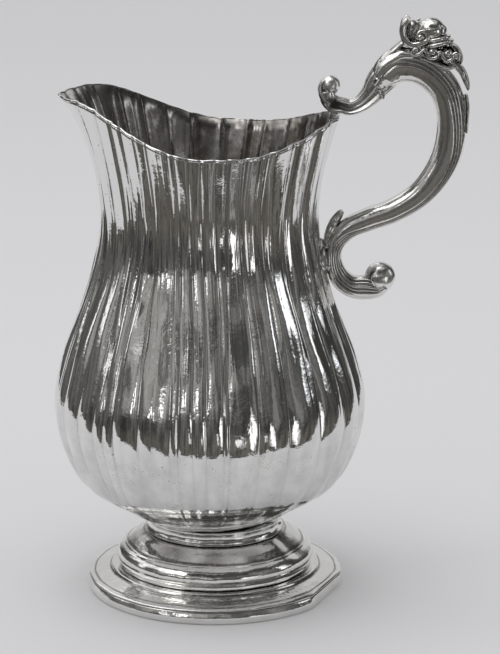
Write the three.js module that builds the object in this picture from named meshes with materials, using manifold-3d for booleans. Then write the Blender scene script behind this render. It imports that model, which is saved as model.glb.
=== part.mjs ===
// A lobed silver water pitcher: a raised body with a pulled spout and a wavy rim, a cast scroll handle with
// a thumb rest, and a round stepped foot.
// Millimetres, +Z up. The handle points to +X and the spout to -X. While the pieces are being built, the
// origin is the middle of the foot where it meets the table; the last lines move it to the middle of the
// whole pitcher's box, still on the table.
import * as THREE from 'three';
import { mergeVertices } from 'three/addons/utils/BufferGeometryUtils.js';
import Module from 'manifold-3d';

const wasm = await Module();
wasm.setup();

const { smoothstep, degToRad, radToDeg } = THREE.MathUtils;

// ---- driving dimensions -------------------------------------------------------------------------------------

const GAP = 0.3; // clearance between pieces that are soldered together

// foot
const FOOT_RADIUS = 60;
const BAND_HEIGHT = 6; // the upright band the pitcher stands on
const BAND_WALL = 1.5;
const REST_WIDTH = 3.6; // width of the flat ring that touches the table
const FLANGE_THICKNESS = 1.4;
const DOME_BOTTOM = 11.2;
const TORUS_RADIUS = 46.1; // the fat moulding, at its widest
const TORUS_HEIGHT = 16.2;
const SHOULDER_RADIUS = 43;
const SHOULDER_HEIGHT = 21.8;
const COLLAR_BOTTOM = 28;
const COLLAR_TOP = 33.7;
const COLLAR_RADIUS = 32.5;

// body
const BODY_SHIFT = -2.2; // the bowl stands a little nearer the spout than the foot does
const BOWL_BOTTOM = COLLAR_TOP + GAP;
const WALL = 1.3;
const FLUTE_DEPTH = 1.3;
const RIM_HEIGHT = 222; // height of the profile's end, before the rim's waves
const RIM_RADIUS = 58.5;
const RIM_LOW = 213.2; // the rim's lowest stretch, on both sides
const RIM_TILT = 0.6; // the rim is this much higher on the -Y side, and as much lower on the other
const SPOUT_LIFT = 20.3;
const SPOUT_PULL = 9.9; // how far the lip is drawn out beyond the round
const SPOUT_SPREAD = 30; // degrees
const HANDLE_LIFT = 11.5;
const HANDLE_FLARE = 1.5; // how far the mouth spreads under the handle
const PULL_START = 185; // the height where the spout and the waves begin to show
const WIRE_RADIUS = 0.8;

// handle
// half thicknesses across, along Y
const GRIP_HALF_WIDTH = 6;
const STEM_HALF_WIDTH = 4.4;
const SPUR_HALF_WIDTH = 3.6;
const SCROLL_HALF_WIDTH = 5.6;
const EYE_HALF_WIDTH = 6.2;
const RIM_BALL_HALF_WIDTH = 4.8;
const LOWER_BALL_HALF_WIDTH = 6.4;
const RUFFLE_HALF_WIDTH = 7.2;
const THUMB_LEAF_HALF_WIDTH = 4.6;
const BACK_LEAF_HALF_WIDTH = 4;

// ---- helpers ------------------------------------------------------------------------------------------------

const silver = (color, roughness) => new THREE.MeshStandardMaterial({ color, roughness, metalness: 1 });

// The vessel and foot are brighter than the cast handle, whose hollows keep some tarnish.
const BODY_SILVER = silver(0xd9d8d4, 0.12);
const FOOT_SILVER = silver(0xd5d3ce, 0.16);
const CAST_SILVER = silver(0xc9c7c2, 0.22);

const v2 = ([r, z]) => new THREE.Vector2(r, z);

// Turns a profile of [radius, height] points round the Z axis.
function turned(profile, segments) {
  const geometry = new THREE.LatheGeometry(profile.map(v2), segments);
  geometry.rotateX(Math.PI / 2);
  return geometry;
}

// A ring's profile, closed on itself.
const closed = (profile) => [...profile, profile[0]];

// Points on an arc in the [radius, height] plane, angles in degrees.
function arc(centreR, centreZ, radius, fromDeg, toDeg, steps) {
  const points = [];
  for (let i = 0; i <= steps; i++) {
    const a = degToRad(fromDeg + ((toDeg - fromDeg) * i) / steps);
    points.push([centreR + radius * Math.cos(a), centreZ + radius * Math.sin(a)]);
  }
  return points;
}

// A bar that bends in the XZ plane. Each point of the line is [x, z, half thickness in the plane].
function bentBar(line, halfWidth, rings, sides, extra = 0) {
  const path = new THREE.CatmullRomCurve3(line.map(([x, z, half]) => new THREE.Vector3(x, half, z)));
  const geometry = new THREE.CylinderGeometry(1, 1, 1, sides, rings);
  const position = geometry.attributes.position;
  for (let i = 0; i < position.count; i++) {
    const t = THREE.MathUtils.clamp(position.getY(i) + 0.5, 0, 1);
    const centre = path.getPoint(t);
    const tangent = path.getTangent(t).setY(0).normalize();
    const across = position.getX(i) * (centre.y + extra);
    const beside = position.getZ(i) * (halfWidth * taper(line, t) + extra);
    const end = t < 0.001 ? -extra : t > 0.999 ? extra : 0;
    position.setXYZ(
      i,
      centre.x - tangent.z * across + tangent.x * end,
      beside,
      centre.z + tangent.x * across + tangent.z * end,
    );
  }
  return geometry;
}

// A bar keeps its width; a leaf (a line whose last half thickness is under 1 mm) narrows to its tip.
function taper(line, t) {
  const isLeaf = line[line.length - 1][2] < 1;
  return isLeaf ? Math.max(0.12, Math.sqrt(1 - t ** 3)) : 1;
}

// A plate whose outline lies in the XZ plane, centred on Y.
function plate(outline, halfWidth, bevel) {
  const shape = new THREE.Shape(outline.map(v2));
  const geometry = new THREE.ExtrudeGeometry(shape, {
    depth: 2 * (halfWidth - bevel),
    bevelThickness: bevel,
    bevelSize: bevel,
    bevelOffset: -bevel,
    bevelSegments: 1,
    curveSegments: 4,
  });
  geometry.translate(0, 0, -(halfWidth - bevel));
  geometry.rotateX(Math.PI / 2);
  return geometry;
}

function ball({ x, z, radius }, halfWidth, extra = 0) {
  const geometry = new THREE.SphereGeometry(1, 16, 10);
  geometry.scale(radius + extra, halfWidth + extra, radius + extra);
  geometry.translate(x, 0, z);
  return geometry;
}

function solid(geometry) {
  const bare = new THREE.BufferGeometry();
  bare.setAttribute('position', geometry.attributes.position.clone());
  if (geometry.index) bare.setIndex(geometry.index.clone());
  const merged = mergeVertices(bare, 1e-4);
  const index = Array.from(merged.index.array);
  const triangles = [];
  for (let i = 0; i < index.length; i += 3) {
    const [a, b, c] = index.slice(i, i + 3);
    if (a !== b && b !== c && c !== a) triangles.push(a, b, c);
  }
  return new wasm.Manifold(
    new wasm.Mesh({
      numProp: 3,
      vertProperties: new Float32Array(merged.attributes.position.array),
      triVerts: new Uint32Array(triangles),
    }),
  );
}

function cut(geometry, ...tools) {
  const result = tools.reduce((piece, tool) => piece.subtract(solid(tool)), solid(geometry));
  return asGeometry(result);
}

function join(...geometries) {
  const [first, ...rest] = geometries.map(solid);
  return asGeometry(rest.reduce((whole, piece) => whole.add(piece), first));
}

function asGeometry(manifold) {
  const mesh = manifold.getMesh();
  const geometry = new THREE.BufferGeometry();
  geometry.setAttribute('position', new THREE.BufferAttribute(new Float32Array(mesh.vertProperties), 3));
  geometry.setIndex(new THREE.BufferAttribute(new Uint32Array(mesh.triVerts), 1));
  return geometry;
}

const pitcher = new THREE.Group();

function add(name, geometry, material) {
  const mesh = new THREE.Mesh(geometry, material);
  mesh.name = name;
  pitcher.add(mesh);
}

// ---- body ---------------------------------------------------------------------------------------------------

// The lobes are uneven because they were worked by hand. These are the creases between them on the side
// away from +Y, in degrees round from the handle; round the far side they are evenly spaced.
const NEAR_CREASES = [
  -167, -155, -143.5, -132, -123, -112, -99.5, -91, -78.5, -67, -54.5, -40.5, -26, -11.5,
];
const FAR_LOBES = 16;
const STEPS_PER_LOBE = 3;

function creases() {
  const last = NEAR_CREASES[NEAR_CREASES.length - 1];
  const farSweep = 360 + NEAR_CREASES[0] - last;
  const far = [];
  for (let i = 1; i <= FAR_LOBES; i++) far.push(last + (farSweep * i) / FAR_LOBES);
  return [...NEAR_CREASES, ...far];
}

const CREASES = creases();
const BODY_SEGMENTS = (CREASES.length - 1) * STEPS_PER_LOBE;

// Where segment number i of the body's round lies, and how deep it is in its crease (1) or on its lobe (0).
function lobeStep(i) {
  const lobe = Math.floor(i / STEPS_PER_LOBE) % (CREASES.length - 1);
  const part = (i % STEPS_PER_LOBE) / STEPS_PER_LOBE;
  const angle = CREASES[lobe] + part * (CREASES[lobe + 1] - CREASES[lobe]);
  return { angle: degToRad(angle), crease: (1 - Math.sin(Math.PI * part)) ** 1.5 };
}

const fromSpout = (angle) => radToDeg(Math.acos(-Math.cos(angle)));

function rimRadius(angle) {
  const d = fromSpout(angle);
  const spout = SPOUT_PULL * Math.exp(-((d / SPOUT_SPREAD) ** 2));
  return RIM_RADIUS + spout + HANDLE_FLARE * smoothstep(d, 160, 180);
}

function rimHeight(angle) {
  const d = fromSpout(angle);
  const waves = SPOUT_LIFT * (1 - smoothstep(d, 22, 93)) + HANDLE_LIFT * smoothstep(d, 107, 174);
  return RIM_LOW + waves - RIM_TILT * Math.sin(angle);
}

const bodyCurve = new THREE.SplineCurve(
  [
    [30, BOWL_BOTTOM],
    [43.5, 42],
    [62.3, 56],
    [72.3, 84],
    [67.9, 112],
    [54.4, 150],
    [50.2, 172],
    [51.6, 192],
    [RIM_RADIUS, RIM_HEIGHT],
  ].map(v2),
);

function bodyProfile(rows, inset) {
  const points = [];
  for (let i = 0; i <= rows; i++) {
    const t = i / rows;
    const point = bodyCurve.getPoint(t);
    const tangent = bodyCurve.getTangent(t);
    points.push([point.x - tangent.y * inset, point.y + tangent.x * inset]);
  }
  return points;
}

// Gives a plain turned body its lobes, its pulled spout and its wavy rim.
function raise(geometry) {
  const position = geometry.attributes.position;
  for (let i = 0; i < position.count; i++) {
    const radius = Math.hypot(position.getX(i), position.getY(i));
    const turn = Math.atan2(position.getX(i), -position.getY(i)) / (2 * Math.PI);
    const step = Math.round((turn < -1e-6 ? turn + 1 : turn) * BODY_SEGMENTS);
    const { angle, crease } = lobeStep(step);
    const z = position.getZ(i);
    const depth = FLUTE_DEPTH * smoothstep(z, 38, 58) * (1 - 0.45 * smoothstep(z, 190, 222));
    const t = Math.max(0, (z - PULL_START) / (RIM_HEIGHT - PULL_START));
    const pulled = radius + (rimRadius(angle) - RIM_RADIUS) * t ** 3 - depth * crease;
    const lifted = z + (rimHeight(angle) - 2 * WIRE_RADIUS - GAP - RIM_HEIGHT) * t;
    const r = radius < 1 ? radius : pulled;
    position.setXYZ(i, BODY_SHIFT + r * Math.cos(angle), r * Math.sin(angle), lifted);
  }
  return geometry;
}

function bodyShell() {
  const outer = bodyProfile(15, 0);
  const inner = bodyProfile(10, WALL).reverse();
  inner[inner.length - 1] = [29, BOWL_BOTTOM + WALL];
  return raise(turned([[0, BOWL_BOTTOM], ...outer, ...inner, [0, BOWL_BOTTOM + WALL]], BODY_SEGMENTS));
}

// The body as if it were filled, grown by the gap, for cutting what is soldered to it.
function bodyPlug() {
  return raise(turned([[0, BOWL_BOTTOM - GAP], ...bodyProfile(15, -GAP), [0, RIM_HEIGHT]], BODY_SEGMENTS));
}

function rimWire() {
  const steps = 72;
  const points = [];
  for (let i = 0; i < steps; i++) {
    const angle = (2 * Math.PI * i) / steps;
    const r = rimRadius(angle) - 0.5 * WALL;
    points.push(
      new THREE.Vector3(
        BODY_SHIFT + r * Math.cos(angle),
        r * Math.sin(angle),
        rimHeight(angle) - WIRE_RADIUS,
      ),
    );
  }
  const path = new THREE.CatmullRomCurve3(points, true);
  return new THREE.TubeGeometry(path, 87, WIRE_RADIUS, 5, true);
}

add('body_shell', bodyShell(), BODY_SILVER);
add('rim_wire', rimWire(), BODY_SILVER);

// ---- foot ---------------------------------------------------------------------------------------------------

const FOOT_SEGMENTS = 48;

function footCollar() {
  const profile = [
    [26, COLLAR_BOTTOM],
    [COLLAR_RADIUS, COLLAR_BOTTOM],
    [COLLAR_RADIUS - 1, COLLAR_TOP],
    [26, COLLAR_TOP],
  ];
  return turned(closed(profile), FOOT_SEGMENTS);
}

// A cone that swells into a fat half-round moulding, all one spun sheet.
function footDome() {
  const swell = arc(TORUS_RADIUS - 5.2, TORUS_HEIGHT, 5.2, -68, 74, 6);
  const profile = [
    [TORUS_RADIUS - 5.2, DOME_BOTTOM],
    ...swell,
    [SHOULDER_RADIUS - 0.9, SHOULDER_HEIGHT],
    [35, 26.3],
    [33, COLLAR_BOTTOM - GAP],
    [28, COLLAR_BOTTOM - GAP],
    [28, COLLAR_BOTTOM - GAP - 1.6],
    [33.5, 25],
    [SHOULDER_RADIUS - 3, SHOULDER_HEIGHT - 2],
    [TORUS_RADIUS - 3.4, TORUS_HEIGHT],
  ];
  return turned(closed(profile), FOOT_SEGMENTS);
}

// A small step ring, then a shallow dish out to the edge.
function footFlange() {
  const top = DOME_BOTTOM - GAP;
  const edge = BAND_HEIGHT + GAP;
  const profile = [
    [41, top - FLANGE_THICKNESS],
    [47.5, top - FLANGE_THICKNESS],
    [53, 7.3],
    [57, edge],
    [FOOT_RADIUS - 0.5, edge],
    [FOOT_RADIUS - 0.4, edge + 0.5],
    [FOOT_RADIUS - 1.4, edge + 1],
    [54, edge + 2.1],
    [49.4, 9.6],
    [48.7, top],
    [41, top],
  ];
  return turned(closed(profile), FOOT_SEGMENTS);
}

function footBaseBand() {
  const profile = [
    [FOOT_RADIUS - REST_WIDTH, 0],
    [FOOT_RADIUS - 0.4, 0],
    [FOOT_RADIUS, 0.5],
    [FOOT_RADIUS, BAND_HEIGHT - 0.5],
    [FOOT_RADIUS - 0.4, BAND_HEIGHT],
    [FOOT_RADIUS - BAND_WALL, BAND_HEIGHT],
    [FOOT_RADIUS - BAND_WALL, 1.4],
    [FOOT_RADIUS - REST_WIDTH, 1],
  ];
  return turned(closed(profile), FOOT_SEGMENTS);
}

add('foot_collar', footCollar(), FOOT_SILVER);
add('foot_dome', footDome(), FOOT_SILVER);
add('foot_flange', footFlange(), FOOT_SILVER);
add('foot_base_band', footBaseBand(), FOOT_SILVER);

// ---- handle -------------------------------------------------------------------------------------------------

// The grip: a large C that turns back under itself into the lower scroll. [x, z, half thickness]
const GRIP = [
  [77, 242.2, 7],
  [84, 247.8, 8.1],
  [91.5, 247.2, 7.8],
  [98.7, 243.2, 7.5],
  [105.2, 235, 7.2],
  [107.6, 223, 6.6],
  [106.3, 209, 6.7],
  [101, 197.5, 6.3],
  [93, 188, 5.8],
  [82, 181, 5.5],
  [71, 176.8, 5.3],
  [61.8, 172.4, 4.9],
  [56.4, 165.8, 4.1],
  [55.3, 157.8, 3.6],
  [57.5, 150, 4.6],
  [63.5, 145.2, 5.2],
  [70.5, 144.7, 5.6],
  [75.5, 144.6, 4.2],
  [79.5, 146.6, 2.4],
];
// The upper branch: it leaves the grip, dips over the rim and rolls up into the rim's ball.
const STEM = [
  [51.4, 236, 3.2],
  [52, 232.3, 3.8],
  [54.6, 229.7, 4.1],
  [58.5, 228.9, 3.8],
  [62.4, 228.2, 3.7],
  [67, 230.2, 4],
  [71.5, 234.5, 5],
  [75, 239.6, 6.4],
  [79, 244.5, 7],
];
const SPUR = [
  [52.2, 163.5, 1.2],
  [53.4, 170, 1.8],
  [56, 176, 1.7],
  [59.3, 180.4, 0.6],
];
const THUMB_LEAF = [
  [106, 250.6, 1.6],
  [111.5, 245.8, 1.7],
  [114, 240.5, 1.4],
  [115, 236.6, 0.5],
];
const BACK_LEAF = [
  [113.6, 235, 1.2],
  [114.5, 229, 1.2],
  [114.3, 222, 1.1],
  [114.6, 217, 0.5],
];
const SCROLL = [
  [93.5, 267, 1.1],
  [88.3, 267.3, 1.6],
  [85.3, 263, 1.7],
  [86.2, 258.3, 1.7],
  [89, 256.7, 1.6],
  [93, 257.6, 1.4],
];
const SCROLL_EYE = { x: 92.8, z: 260.6, radius: 3.5 };
const RIM_BALL = { x: 52.9, z: 238.2, radius: 4.5 };
const LOWER_BALL = { x: 76.3, z: 149.7, radius: 7.2 };
const THUMB_CAP = { x: 98.6, bottom: 260.9, spring: 262.6, top: 269.4, foot: 4.8, radius: 5.6, widen: 1.08 };
const THUMB_BANDS = { x: 101.4, bottom: 256.4, height: 4.2, radius: 5.9, waist: 5.2, widen: 1.1 };
const MOUNT_PAD = { z: 157.6, radius: 8.4, from: 43.3, to: 51.3 };

// [x, z] outline of the frill below the mouldings: a wavy lower edge and a level top.
const RUFFLE = [
  [89.5, 256.1],
  [90.2, 252.6],
  [91.8, 251.5],
  [94.8, 252.8],
  [97, 251.2],
  [99.2, 250.5],
  [102.2, 251.7],
  [105.4, 249.6],
  [108, 250.4],
  [111.2, 252],
  [111.4, 254.2],
  [108.5, 256.1],
];

const gripBar = (extra = 0) => bentBar(GRIP, GRIP_HALF_WIDTH, 40, 10, extra);
const spurBar = (extra = 0) => bentBar(SPUR, SPUR_HALF_WIDTH, 8, 8, extra);
const lowerBall = (extra = 0) => ball(LOWER_BALL, LOWER_BALL_HALF_WIDTH, extra);
const rimBall = (extra = 0) => ball(RIM_BALL, RIM_BALL_HALF_WIDTH, extra);

function scrollEye(extra = 0) {
  const { x, z, radius } = SCROLL_EYE;
  const around = radius + extra;
  const geometry = new THREE.CylinderGeometry(around, around, 2 * (EYE_HALF_WIDTH + extra), 16);
  geometry.translate(x, 0, z);
  return geometry;
}

function thumbScroll(extra = 0) {
  return join(bentBar(SCROLL, SCROLL_HALF_WIDTH, 12, 8, extra), scrollEye(extra));
}

// A squat dome, flat underneath.
function thumbCap() {
  const { x, bottom, spring, top, foot, radius, widen } = THUMB_CAP;
  const rise = arc(0, 0, 1, 0, 90, 5).map(([r, z]) => [r * radius, spring + z * (top - spring)]);
  const geometry = turned([[0, bottom], [foot, bottom], ...rise.slice(0, -1), [0, top]], 20);
  geometry.scale(1, widen, 1);
  geometry.translate(x, 0, 0);
  return geometry;
}

// Two rounded mouldings, one on the other.
function thumbBands() {
  const { x, bottom, height, radius, waist, widen } = THUMB_BANDS;
  const profile = [
    [0, bottom],
    [waist, bottom],
    [radius, bottom + 0.21 * height],
    [waist, bottom + 0.45 * height],
    [radius, bottom + 0.71 * height],
    [waist, bottom + height],
    [0, bottom + height],
  ];
  const geometry = turned(profile, 20);
  geometry.scale(1, widen, 1);
  geometry.translate(x, 0, 0);
  return geometry;
}

// The disc that spreads the lower joint on the body, shaped to the body behind it.
function mountPad() {
  const { z, radius, from, to } = MOUNT_PAD;
  const geometry = new THREE.CylinderGeometry(radius, radius, to - from, 20);
  geometry.rotateZ(Math.PI / 2);
  geometry.translate((from + to) / 2, 0, z);
  return cut(geometry, bodyPlug(), gripBar(GAP), spurBar(GAP));
}

const stem = cut(bentBar(STEM, STEM_HALF_WIDTH, 20, 10), gripBar(GAP), rimBall(GAP));
const ruffle = (extra = 0) => plate(RUFFLE, RUFFLE_HALF_WIDTH + extra, extra > 0 ? 0.1 : 0.8);
const thumbLeaf = bentBar(THUMB_LEAF, THUMB_LEAF_HALF_WIDTH, 8, 8);
const backLeaf = bentBar(BACK_LEAF, BACK_LEAF_HALF_WIDTH, 8, 8);

add('handle_bow', cut(gripBar(), lowerBall(GAP)), CAST_SILVER);
add('lower_volute', lowerBall(), CAST_SILVER);
add('handle_stem', stem, CAST_SILVER);
add('rim_volute', rimBall(), CAST_SILVER);
add('mount_pad', mountPad(), CAST_SILVER);
add('spur_leaf', cut(spurBar(), gripBar(GAP)), CAST_SILVER);
add('thumb_bands', cut(thumbBands(), thumbScroll(GAP)), CAST_SILVER);
add('thumb_cap', cut(thumbCap(), thumbScroll(GAP)), CAST_SILVER);
add('thumb_scroll', cut(thumbScroll(), gripBar(GAP)), CAST_SILVER);
add('thumb_ruffle', cut(ruffle(), gripBar(GAP), thumbScroll(GAP)), CAST_SILVER);
add('thumb_leaf', cut(thumbLeaf, gripBar(GAP), ruffle(0.4)), CAST_SILVER);
add('back_leaf', cut(backLeaf, gripBar(GAP)), CAST_SILVER);

// ---- origin -------------------------------------------------------------------------------------------------

const box = new THREE.Box3().setFromObject(pitcher);
const middle = box.getCenter(new THREE.Vector3());
pitcher.children.forEach((mesh) => mesh.position.set(-middle.x, -middle.y, -box.min.z));

export default pitcher;
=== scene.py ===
"""A lobed silver water pitcher on a pale table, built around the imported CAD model.

Lengths in the profile tables are millimetres in the pitcher's own frame: the middle of the foot is the
origin, the handle points to +X and the spout to -X. place() turns them into metres in the shared frame.
"""

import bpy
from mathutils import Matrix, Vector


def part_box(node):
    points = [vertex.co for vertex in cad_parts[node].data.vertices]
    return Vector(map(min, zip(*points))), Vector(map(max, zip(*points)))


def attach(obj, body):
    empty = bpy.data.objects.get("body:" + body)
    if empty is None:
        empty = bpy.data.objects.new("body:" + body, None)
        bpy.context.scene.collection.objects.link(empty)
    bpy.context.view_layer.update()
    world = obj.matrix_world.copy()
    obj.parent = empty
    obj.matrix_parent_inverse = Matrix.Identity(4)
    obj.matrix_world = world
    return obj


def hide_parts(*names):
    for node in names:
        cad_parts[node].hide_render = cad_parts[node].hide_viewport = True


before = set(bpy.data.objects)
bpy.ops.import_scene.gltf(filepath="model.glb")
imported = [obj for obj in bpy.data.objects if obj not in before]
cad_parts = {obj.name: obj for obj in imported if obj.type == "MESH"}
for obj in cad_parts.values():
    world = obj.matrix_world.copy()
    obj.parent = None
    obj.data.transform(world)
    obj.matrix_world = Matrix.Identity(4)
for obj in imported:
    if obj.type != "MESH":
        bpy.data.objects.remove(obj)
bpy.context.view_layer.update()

import math

import bpy
import numpy as np
from mathutils import Vector

MM = 0.001
ROUND = 2 * math.pi
RANDOM = np.random.default_rng(11)

foot_low, foot_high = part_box("foot_base_band")
FOOT_X = (foot_low.x + foot_high.x) / 2
FOOT_RADIUS = (foot_high.x - foot_low.x) / 2 / MM
BAND_TOP = foot_high.z / MM


# ---- helpers ----

def ramp(x, start, end):
    """0 before the start, 1 after the end, and a smooth rise between them."""
    t = np.clip((x - start) / (end - start), 0, 1)
    return t * t * (3 - 2 * t)


def bump(x, centre, width):
    """A smooth hill of height 1."""
    return np.exp(-(((x - centre) / width) ** 2))


def catmull(points, count):
    """A smooth line through the points, evenly spread over its control points."""
    p = np.asarray(points, float)
    last = len(p) - 1
    t = np.linspace(0, last, count)
    i = np.clip(t.astype(int), 0, last - 1)
    w = (t - i)[:, None]
    before, after = p[np.maximum(i - 1, 0)], p[np.minimum(i + 2, last)]
    here, there = p[i], p[i + 1]
    v0, v1 = (there - before) / 2, (after - here) / 2
    return (
        (2 * here - 2 * there + v0 + v1) * w**3
        + (3 * there - 3 * here - 2 * v0 - v1) * w**2
        + v0 * w
        + here
    )


def place(points):
    """Millimetres in the pitcher's frame to metres in the shared frame."""
    return np.asarray(points, float) * MM + [FOOT_X, 0, 0]


def ripples(count, across, along, seed):
    """A smooth random field of two variables, about -1 to 1, with the given highest frequencies."""
    rng = np.random.default_rng(seed)
    a = np.round(rng.uniform(-across, across, count))
    b = rng.uniform(-along, along, count)
    phase = rng.uniform(0, ROUND, count)

    def field(u, v):
        total = 0
        for k in range(count):
            total = total + np.sin(a[k] * u + b[k] * v + phase[k])
        return total / math.sqrt(count)

    return field


def grid_faces(rows, columns, wrap_rows=False):
    """Quads over a grid whose columns close on themselves."""
    r = np.arange(rows if wrap_rows else rows - 1)[:, None]
    c = np.arange(columns)
    r1, c1 = (r + 1) % rows, (c + 1) % columns
    quads = [r * columns + c, r * columns + c1, r1 * columns + c1, r1 * columns + c]
    return np.stack(quads, axis=-1).reshape(-1, 4).tolist()


def full_turn(count):
    """Angles spread evenly all round."""
    return np.linspace(0, ROUND, count, endpoint=False)


def unit(vectors):
    """The same directions with length 1."""
    return vectors / np.linalg.norm(vectors, axis=1)[:, None]


def add_object(name, data):
    """A new object in the scene."""
    obj = bpy.data.objects.new(name, data)
    bpy.context.scene.collection.objects.link(obj)
    return obj


def add_piece(name, node, slot, material, points, faces, tarnish):
    """A smooth piece from points in millimetres. It stands for a CAD node and rides with the pitcher."""
    mesh = bpy.data.meshes.new(name)
    mesh.from_pydata(place(points).tolist(), [], faces)
    mesh.validate()
    mesh.shade_smooth()
    # The tarnish mark darkens the colour; on the body's lower lobes and the foot's cone it is also painted
    # shade.
    layer = mesh.attributes.new("tarnish", "FLOAT", "POINT")
    layer.data.foreach_set("value", np.asarray(tarnish, np.float32).ravel())
    mesh.materials.append(material)
    obj = add_object(name, mesh)
    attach(obj, "root")
    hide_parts(node)


def join_parts(parts):
    """Several (points, faces, tarnish) in one."""
    points, faces, tarnish, offset = [], [], [], 0
    for part_points, part_faces, part_tarnish in parts:
        points.append(part_points)
        tarnish.append(part_tarnish)
        faces += [[i + offset for i in face] for face in part_faces]
        offset += len(part_points)
    return np.concatenate(points), faces, np.concatenate(tarnish)


def closed_rows(grid, tarnish, flipped=False):
    """A grid [row, column, xyz] of rings, with a point added at each end to close it."""
    rows, columns = grid.shape[:2]
    first, last = grid[0].mean(0), grid[-1].mean(0)
    points = np.concatenate([grid.reshape(-1, 3), [first, last]])
    faces = grid_faces(rows, columns)
    first_middle = rows * columns
    last_middle = first_middle + 1
    last_ring = (rows - 1) * columns
    for c in range(columns):
        following = (c + 1) % columns
        faces.append([first_middle, following, c])
        faces.append([last_middle, last_ring + c, last_ring + following])
    if flipped:
        faces = [face[::-1] for face in faces]
    marks = np.concatenate([tarnish.ravel(), [tarnish[0].mean(), tarnish[-1].mean()]])
    return points, faces, marks


# ---- silver ----

class Nodes:
    """A small wrapper that makes and links shader nodes."""

    def __init__(self, tree):
        self.tree = tree
        tree.nodes.clear()

    def new(self, kind, settings=None, **inputs):
        """A node with its settings, and its inputs linked or set."""
        node = self.tree.nodes.new(kind)
        for key, value in (settings or {}).items():
            setattr(node, key, value)
        for key, value in inputs.items():
            self.put(node, key, value)
        return node

    def put(self, node, key, value):
        """Link or set an input, named with _ for a space, or _2 for input number 2."""
        name = int(key[1:]) if key[0] == "_" else key.replace("_", " ")
        socket = node.inputs[name]
        if isinstance(value, bpy.types.NodeSocket):
            self.tree.links.new(value, socket)
        else:
            socket.default_value = value

    def math(self, operation, a, b=0.0, clamp=False):
        """One step of arithmetic."""
        settings = {"operation": operation, "use_clamp": clamp}
        return self.new("ShaderNodeMath", settings, _0=a, _1=b).outputs[0]

    def times(self, a, b, clamp=False):
        """The product."""
        return self.math("MULTIPLY", a, b, clamp)

    def remap(self, value, low, high, to_low=0.0, to_high=1.0):
        """A smooth step of the value from to_low at low to to_high at high."""
        smooth = {"interpolation_type": "SMOOTHSTEP"}
        ends = {"From_Min": low, "From_Max": high, "To_Min": to_low, "To_Max": to_high}
        return self.new("ShaderNodeMapRange", smooth, Value=value, **ends).outputs["Result"]

    def mix(self, factor, a, b):
        """Colour a where the factor is 0, colour b where it is 1."""
        node = self.new("ShaderNodeMix", {"data_type": "RGBA"})
        self.put(node, "_0", factor)
        self.put(node, "_6", a)
        self.put(node, "_7", b)
        return node.outputs[2]

    def noise(self, vector, scale, detail):
        """A cloudy value, mostly from 0.3 to 0.7."""
        return self.new("ShaderNodeTexNoise", None, Vector=vector, Scale=scale, Detail=detail).outputs[0]


# Noise scales are per metre. Tones are linear red, green, blue, alpha.
PIT_SCALE = 420.0
FINE_PIT_SCALE = 800.0
SCRATCH_SCALE = 1500
SCRATCH_DEPTH = 0.00003
PIT_TONE = (0.09, 0.075, 0.06, 1)
FINE_PIT_TONE = (0.12, 0.105, 0.09, 1)
# Painted shade: the grey of the streaks laid over the lower bowl and the foot.
LOW_SHADE_TONE = (0.40, 0.40, 0.39, 1)
# Brown tarnish, also the tone of the painted shade on the lower lobes and the foot's cone.
BROWN_TARNISH_AND_SHADE = (0.17, 0.155, 0.14, 1)
DARK_TARNISH = (0.05, 0.046, 0.042, 1)
RUBBED_TARNISH = (0.08, 0.075, 0.07, 1)


def stretched(n, where, rise):
    """The place with its height squeezed, so that a noise runs up and down."""
    return n.new("ShaderNodeMapping", None, Vector=where, Scale=(1, 1, rise)).outputs[0]


def cells(n, where, scale):
    """The distance to the nearest of many scattered dots."""
    dots = n.new("ShaderNodeTexVoronoi", {"feature": "F1"}, Vector=where, Scale=scale, Randomness=1.0)
    return dots.outputs["Distance"]


def tarnished(n, where, tone, tarnish_tone):
    """The metal's colour, a little warmer in clouds and dark in its hollows, and how stained it is. The
    tarnish mark it reads is also painted shade on the lower lobes and on the front of the foot's cone.
    """
    # hollow: tarnish in the hollows, plus painted shade on the lower lobes and the foot's cone.
    hollow = n.new("ShaderNodeAttribute", {"attribute_name": "tarnish"}).outputs["Fac"]
    patchy = n.noise(where, 210, 4)
    stain = n.times(hollow, n.remap(patchy, 0.2, 0.6, 0.55, 1.0), clamp=True)
    cloud = n.remap(n.noise(where, 38, 3), 0.35, 0.75)
    warmer = (tone[0], tone[1] * 0.985, tone[2] * 0.95, 1)
    warm = n.mix(n.times(cloud, 0.5), tone, warmer)
    return n.mix(stain, warm, tarnish_tone), stain


def pitted(n, where, height_up, colour, pits):
    """Dark pits in a few places, and finer ones that are thickest low on the bowl."""
    chosen = n.remap(n.noise(where, 160, 2), 0.56, 0.66)
    near_pit = n.remap(cells(n, where, PIT_SCALE), 0.16, 0.06)
    pit = n.times(n.times(near_pit, chosen), pits, clamp=True)
    fine_chosen = n.remap(n.noise(where, 75, 3), 0.42, 0.7)
    near_fine_pit = n.remap(cells(n, where, FINE_PIT_SCALE), 0.34, 0.12)
    fine_pit = n.times(near_fine_pit, fine_chosen)
    fine_pit = n.times(fine_pit, n.remap(height_up, 0.11, 0.07, 0.12, 0.55))
    colour = n.mix(pit, colour, PIT_TONE)
    return n.mix(n.times(fine_pit, pits), colour, FINE_PIT_TONE), pit


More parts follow.
